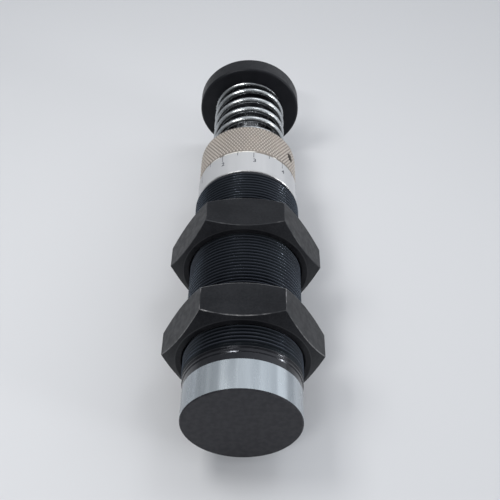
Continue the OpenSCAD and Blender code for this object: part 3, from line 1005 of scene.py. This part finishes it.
@dataclass
class Dial(Assembly):
    """Scale sleeve with its printed film: ticks at half steps, a number at each whole step.

    Lengths in millimetres, angles in degrees.
    """

    body: Body = Body.BARREL
    zero: float = -103.6
    step: float = 37.0
    last: int = 8
    long_tick: float = 3.2
    short_tick: float = 1.7
    line: float = 0.24
    digit: float = 2.9
    gap: float = 0.35
    margin: float = 0.05
    ink: float = 0.015
    tick_lift: float = 0.004
    digit_ink: float = 0.006
    digit_lift: float = 0.01
    bold: float = 0.04
    aside: float = 1.0  # from a tick to the middle of its number

    @staticmethod
    def place(mark: Piece, angle: float, station: float, lift: float) -> Piece:
        """Stands a flat mark on the film, its up along the axis, and puts its place into its mesh.

        Args:
            mark: The mark, drawn at the origin.
            angle: Degrees from the top towards the right.
            station: Millimetres along the axis.
            lift: Millimetres above the film.

        Returns:
            The mark.
        """
        low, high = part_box("scale_label")
        a, out = math.radians(angle), (high.z - low.z) / 2 / MM + lift
        across, up = Vector((math.cos(a), 0, -math.sin(a))), Vector((0, 1, 0))
        normal = Vector((math.sin(a), 0, math.cos(a)))
        turn = Matrix((across, up, normal)).transposed().to_4x4()
        mark.data.transform(Matrix.Translation(normal * out * MM + up * station * MM) @ turn)
        return mark

    def tick(self, angle: float, length: float, front: float) -> Piece:
        """Prints one tick.

        Args:
            angle: Degrees from the top towards the right.
            length: Length of the tick.
            front: Station of its front end.

        Returns:
            The tick.
        """
        Bench.clear()
        bpy.ops.mesh.primitive_plane_add(size=1, location=(0, 0, 0))
        mark = bpy.context.active_object
        Bench.edit(mark)
        bpy.ops.transform.resize(value=(self.line * MM, length * MM, 1))
        Bench.apply(mark, "SOLIDIFY", thickness=self.ink * MM, offset=1)
        return self.place(mark, angle, front - length / 2, self.tick_lift)

    def number(self, value: int, angle: float, top: float) -> Piece:
        """Prints one number.

        Args:
            value: The number.
            angle: Degrees from the top towards the right.
            top: Station of its upper edge.

        Returns:
            The number as a mesh.
        """
        Bench.clear()
        bpy.ops.object.text_add(location=(0, 0, 0))
        text = bpy.context.active_object.data
        text.body, text.size = str(value), self.digit * MM
        text.align_x, text.align_y = "CENTER", "TOP"
        text.extrude, text.offset = self.digit_ink * MM, self.bold * MM
        bpy.ops.object.convert(target="MESH")
        return self.place(bpy.context.active_object, angle, top, self.digit_lift)

    def build(self) -> None:
        """Prints the scale and dresses the sleeve and its film."""
        self.keep(SLEEVE_METAL, "scale_sleeve")
        self.keep(SCALE_FILM, "scale_label")
        front = span("scale_label")[1] - self.margin
        marks = []
        for half in range(2 * self.last + 1):
            angle = self.zero + self.step * half / 2
            whole = half % 2 == 0
            length = self.long_tick if whole else self.short_tick
            marks.append(self.tick(angle, length, front))
            if whole:
                marks.append(self.number(half // 2, angle + self.aside, front - length - self.gap))
        printed = Bench.join("scale_marks", marks)
        dress(printed, INK)
        self.seat(printed, "scale_white")


@dataclass
class AdjusterRing(Assembly):
    """Knurled ring with the spring pocket. Lengths in millimetres."""

    body: Body = Body.ADJUSTER
    crest: float = 20.3
    valley: float = 19.93
    around: int = 90
    diamond: float = 2.44
    chamfer: float = 0.45
    pocket: float = 16.5
    pocket_deep: float = 5.0
    pocket_edge: float = 0.5
    seat_hole: float = 13.22
    screw_hole: float = 2.03
    drill_long: float = 12.0
    drill_out: float = 20.0

    def zone(self) -> tuple[float, float, int]:
        """Where the knurl lies.

        Returns:
            Its first and last station, and how many half diamonds lie between them.
        """
        low, high = span("adjuster_ring")
        start, end = low + self.chamfer, high - self.chamfer
        return start, end, 2 * round((end - start) / self.diamond)

    def blank(self) -> Piece:
        """Turns the ring with a ring of points for every half diamond of the knurl.

        Returns:
            The blank, its knurled zone at the valley radius.
        """
        low, high = span("adjuster_ring")
        start, end, rows = self.zone()
        face = [(self.valley, start + (end - start) * k / rows) for k in range(rows + 1)]
        rim, floor = self.valley - self.chamfer, high - self.pocket_deep
        outline = [
            (self.seat_hole, low), (rim, low), *face, (rim, high), (self.pocket + self.pocket_edge, high),
            (self.pocket, high - self.pocket_edge), (self.pocket, floor), (self.seat_hole, floor),
        ]
        return Bench.turn("adjuster_ring_dressed", outline, steps=2 * self.around, smooth_angle=40)

    def knurl(self, ring: Piece) -> None:
        """Raises a point in the middle of every diamond.

        Args:
            ring: The blank.
        """
        start, end, rows = self.zone()
        skin, pitch, grow = self.valley - 0.05, math.pi / self.around, self.crest / self.valley
        Bench.edit(ring)
        bpy.ops.mesh.select_all(action="DESELECT")
        bpy.ops.mesh.select_mode(type="VERT")
        Bench.leave()
        radii = [math.hypot(vertex.co.x, vertex.co.z) / MM for vertex in ring.data.vertices]
        for vertex, out in zip(ring.data.vertices, radii, strict=True):
            row = (vertex.co.y / MM - start) / (end - start) * rows
            column = math.atan2(vertex.co.x, vertex.co.z) / pitch
            inside = 0.5 < row < rows - 0.5 and out > skin
            vertex.select = inside and (round(row) + round(column)) % 2 == 1
        bpy.ops.object.mode_set(mode="EDIT")
        bpy.ops.transform.resize(value=(grow, 1, grow), center_override=(0, 0, 0))
        Bench.leave()
        for face in ring.data.polygons:
            face.select = min(radii[v] for v in face.vertices) > skin
        bpy.ops.object.mode_set(mode="EDIT")
        bpy.ops.mesh.select_mode(type="FACE")
        bpy.ops.mesh.quads_convert_to_tris(quad_method="SHORTEST_DIAGONAL", ngon_method="BEAUTY")
        bpy.ops.mesh.select_mode(type="VERT")
        Bench.leave()

    def drill(self, ring: Piece) -> None:
        """Drills the hole of the set screw.

        Args:
            ring: The knurled ring.
        """
        low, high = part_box("adjuster_set_screw")
        middle = (low + high) / 2
        out = Vector((middle.x, 0, middle.z)).normalized()
        Bench.clear()
        bpy.ops.mesh.primitive_cylinder_add(
            vertices=48, radius=self.screw_hole * MM, depth=self.drill_long * MM,
            location=Vector((0, middle.y, 0)) + out * self.drill_out * MM,
            rotation=out.to_track_quat("Z", "Y").to_euler(),
        )
        bpy.ops.object.transform_apply(location=True, rotation=True, scale=True)
        Bench.cut(ring, bpy.context.active_object)

    def build(self) -> None:
        """Builds the ring and dresses what turns with it."""
        ring = self.blank()
        self.knurl(ring)
        self.drill(ring)
        Bench.tidy(ring, 8)
        # The knurl's material carries painted shade in its valleys and painted highlight on its rims.
        dress(ring, SatinNickel("nickel_knurl", self.valley, self.crest, *span("adjuster_ring")))
        self.seat(ring, "satin_nickel", "adjuster_ring")
        self.keep(OXIDE_SCREW, "adjuster_set_screw")
        self.keep(TURNED_STEEL, "adjuster_head", "metering_sleeve", "spring_seat_washer")
        self.keep(BRONZE, "rod_bearing")
        self.keep(SEAL, "rod_seal", "rod_wiper", "head_o_ring")


@dataclass
class ReturnSpring(Assembly):
    """Right-handed spring with closed, ground ends. Lengths in millimetres."""

    body: Body = Body.BARREL
    wire: float = 2.4
    mean: float = 29.2
    turns: float = 7.0
    closing: float = 0.9
    tip_lead: float = 1.6
    tip: float = 0.15
    tip_angle: float = 64.0
    per_turn: int = 72
    travel: float = 25.0

    def advance(self, t: float, lead: float) -> float:
        """Advance along the axis after t turns from a tip.

        Args:
            t: Turns from the tip.
            lead: Lead of the open turns.

        Returns:
            The advance in millimetres.
        """
        if t < self.closing:
            return self.tip_lead * t + (lead - self.tip_lead) * t * t / (2 * self.closing)
        return self.closing * (self.tip_lead + lead) / 2 + lead * (t - self.closing)

    def wind(self, low: float, high: float) -> list[Vector]:
        """Centre line of the wire, from the button to the seat.

        Args:
            low: Station of the rear seat.
            high: Station of the button.

        Returns:
            Its points in metres.
        """
        front, rear = high + self.wire / 2 - self.tip, low - self.wire / 2 + self.tip
        lead = (front - rear - self.closing * self.tip_lead) / (self.turns - self.closing)
        count = round(self.turns * self.per_turn)
        points = []
        for k in range(count + 1):
            t = self.turns * k / count
            forward = t < self.turns / 2
            station = front - self.advance(t, lead) if forward else rear + self.advance(self.turns - t, lead)
            a = math.radians(self.tip_angle) - 2 * math.pi * t
            points.append(Vector((self.mean / 2 * math.sin(a), station, self.mean / 2 * math.cos(a))) * MM)
        return points

    def build(self) -> None:
        """Sweeps the wire, grinds its ends and gives it a mesh of its own."""
        low, high = span("return_spring")
        points = self.wind(low, high)
        Bench.clear()
        bpy.ops.curve.primitive_bezier_curve_add(location=(0, 0, 0))
        line = bpy.context.active_object.data
        line.splines.clear()
        spline = line.splines.new("POLY")
        spline.points.add(len(points) - 1)
        for point, place in zip(spline.points, points, strict=True):
            point.co = (*place, 1)
        line.dimensions, line.use_fill_caps = "3D", True
        line.bevel_depth, line.bevel_resolution = self.wire / 2 * MM, 6
        bpy.ops.object.convert(target="MESH")
        spring = Bench.named("return_spring_dressed")
        Bench.grind(spring, high, keep_front=False)
        Bench.grind(spring, low, keep_front=True)
        Bench.tidy(spring, 40)
        dress(spring, WIRE)
        self.seat(spring, "zinc_wire", "return_spring")
        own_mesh(spring)


@dataclass
class RodGroup(Assembly):
    """Rod, piston, check ring and strike button."""

    body: Body = Body.ROD

    def build(self) -> None:
        """Dresses the rod and what it carries."""
        self.keep(CHROME, "piston_rod")
        self.keep(OXIDE_BUTTON, "strike_button")
        self.keep(BRONZE, "piston")
        self.keep(POLYMER, "piston_ring")
        self.keep(TURNED_STEEL, "piston_nut", "check_ring")


# Studio


@dataclass
class Studio:
    """Pale floor and surroundings, lamps and camera. Lengths in millimetres, but the lamps' in metres."""

    floor: Colour = (0.63, 0.635, 0.652)
    floor_at: float = -25.02
    eye: Point = (4.733, -150.326, 236.918)
    yaw: float = -0.780
    pitch: float = 45.82
    roll: float = 0.113
    sensor: float = 36.0
    lens: float = 60.59808
    bright: float = 0.77
    dim: float = 0.27
    dim_way: Point = (0.0, -0.93, 0.37)
    at_left: float = 0.5
    at_right: float = 1.75
    glow: Colour = (0.93, 0.96, 1.0)
    backdrop: Colour = (0.46, 0.465, 0.48)

    def lay_floor(self) -> None:
        """Lays a wide pale floor just under the nuts."""
        Bench.clear()
        bpy.ops.mesh.primitive_plane_add(size=6, location=(0, 0, self.floor_at * MM))
        floor = Bench.named("floor")
        s = Shades("floor")
        shaded = tuple(0.985 * c for c in self.floor)
        s.colour(s.blend(s.spread(s.noise(0.004, 3.0), 0.3, 0.7), shaded, self.floor))
        s.roughness(s.spread(s.noise(0.01, 2.0), 0.3, 0.7, 0.5, 0.6))
        s.sheen_of(0.25)
        floor.data.materials.append(s.material)

    @staticmethod
    def lamp(
        name: str, at: Point, aim: Point, size: Pair, watts: float, colour: Colour = (1, 1, 1),
        beam: float = 180,
    ) -> None:
        """Hangs a soft rectangular lamp.

        Args:
            name: Name of the lamp.
            at: Where it hangs.
            aim: Point that it faces.
            size: Its width and height.
            watts: Its power.
            colour: Its colour.
            beam: Angle in degrees that its light is kept within.
        """
        Bench.clear()
        bpy.ops.object.light_add(type="AREA", location=at)
        stand = Bench.named(name)
        lamp = stand.data
        lamp.shape, lamp.energy, lamp.color, lamp.spread = "RECTANGLE", watts, colour, math.radians(beam)
        lamp.size, lamp.size_y = size
        stand.rotation_euler = (Vector(aim) - Vector(at)).to_track_quat("-Z", "Y").to_euler()

    def light(self) -> None:
        """Hangs a soft main lamp at the left, a fill, and two small ones that give the bright spots."""
        middle, strip = (0, 0.08, 0), (0.3, 0.05)
        warm, cool = (1.0, 0.995, 0.98), (0.97, 0.985, 1.0)
        self.lamp("main", (-0.16, 0.084, 0.32), (0, 0.085, 0), (0.12, 0.12), watts=0.5, colour=warm)
        self.lamp("fill", (0.42, 0.34, 1.05), (0, 0.09, 0), (0.3, 0.3), watts=1.2, colour=cool)
        self.lamp("spot_left", (-0.324, -0.664, 0.888), middle, strip, watts=0.082, beam=30)
        self.lamp("spot_right", (1.044, -0.448, 0.276), middle, strip, watts=0.115, beam=30)

    def surround(self) -> None:
        """Sets the pale surroundings: dimmer low behind the rear end and towards the left."""
        world = bpy.data.worlds.new("surroundings")
        bpy.context.scene.world = world
        world.use_nodes = True
        world.node_tree.nodes.clear()
        n = Nodes(world.node_tree)
        way = n.node("TexCoord", {}).outputs["Generated"]
        lean = n.node("VectorMath", {0: way, 1: self.dim_way}, operation="DOT_PRODUCT").outputs["Value"]
        rear = n.spread(lean, 0.1, 0.85, self.bright, self.dim)
        x = n.node("SeparateXYZ", {0: way}).outputs["X"]
        side = n.spread(x, -0.9, 0.9, self.at_left, self.at_right, easing="LINEAR")
        soft = n.node("Background", {"Color": self.glow, "Strength": n.maths("MULTIPLY", rear, side)})
        seen = n.node("Background", {"Color": self.backdrop})
        camera = n.node("LightPath", {}).outputs["Is Camera Ray"]
        mix = n.node("MixShader", {"Fac": camera, 1: soft.outputs[0], 2: seen.outputs[0]})
        n.node("OutputWorld", {"Surface": mix.outputs[0]})

    def aim_camera(self) -> None:
        """Stands the camera behind and above the rear end."""
        yaw, pitch, roll = (math.radians(a) for a in (self.yaw, self.pitch, self.roll))
        ahead = Vector((math.sin(yaw) * math.cos(pitch), math.cos(yaw) * math.cos(pitch), -math.sin(pitch)))
        level = Vector((math.cos(yaw), -math.sin(yaw), 0))
        rise = level.cross(ahead)
        right = level * math.cos(roll) + rise * math.sin(roll)
        up = rise * math.cos(roll) - level * math.sin(roll)
        data = bpy.data.cameras.new("camera")
        data.sensor_width, data.lens = self.sensor, self.lens
        data.clip_start, data.clip_end = 0.005, 20
        camera = bpy.data.objects.new("camera", data)
        bpy.context.scene.collection.objects.link(camera)
        turn = Matrix((right, up, -ahead)).transposed().to_4x4()
        camera.matrix_world = Matrix.Translation(Vector(self.eye) * MM) @ turn
        bpy.context.scene.camera = camera

    def build(self) -> None:
        """Sets the stage."""
        self.aim_camera()
        self.lay_floor()
        self.light()
        self.surround()
        bpy.context.scene.view_settings.view_transform = "Standard"
        LOG.info("stage set")


def main() -> None:
    """Builds every sub-assembly and the stage."""
    logging.basicConfig(level=logging.INFO, format="%(name)s: %(message)s")
    Barrel().build()
    LockNut(Body.REAR_NUT, "rear_lock_nut", RUBBED_REAR_NUT).build()
    LockNut(Body.FRONT_NUT, "front_lock_nut", RUBBED_NUT).build()
    Dial().build()
    AdjusterRing().build()
    ReturnSpring().build()
    RodGroup().build()
    Studio().build()


if __name__ == "__main__":
    main()
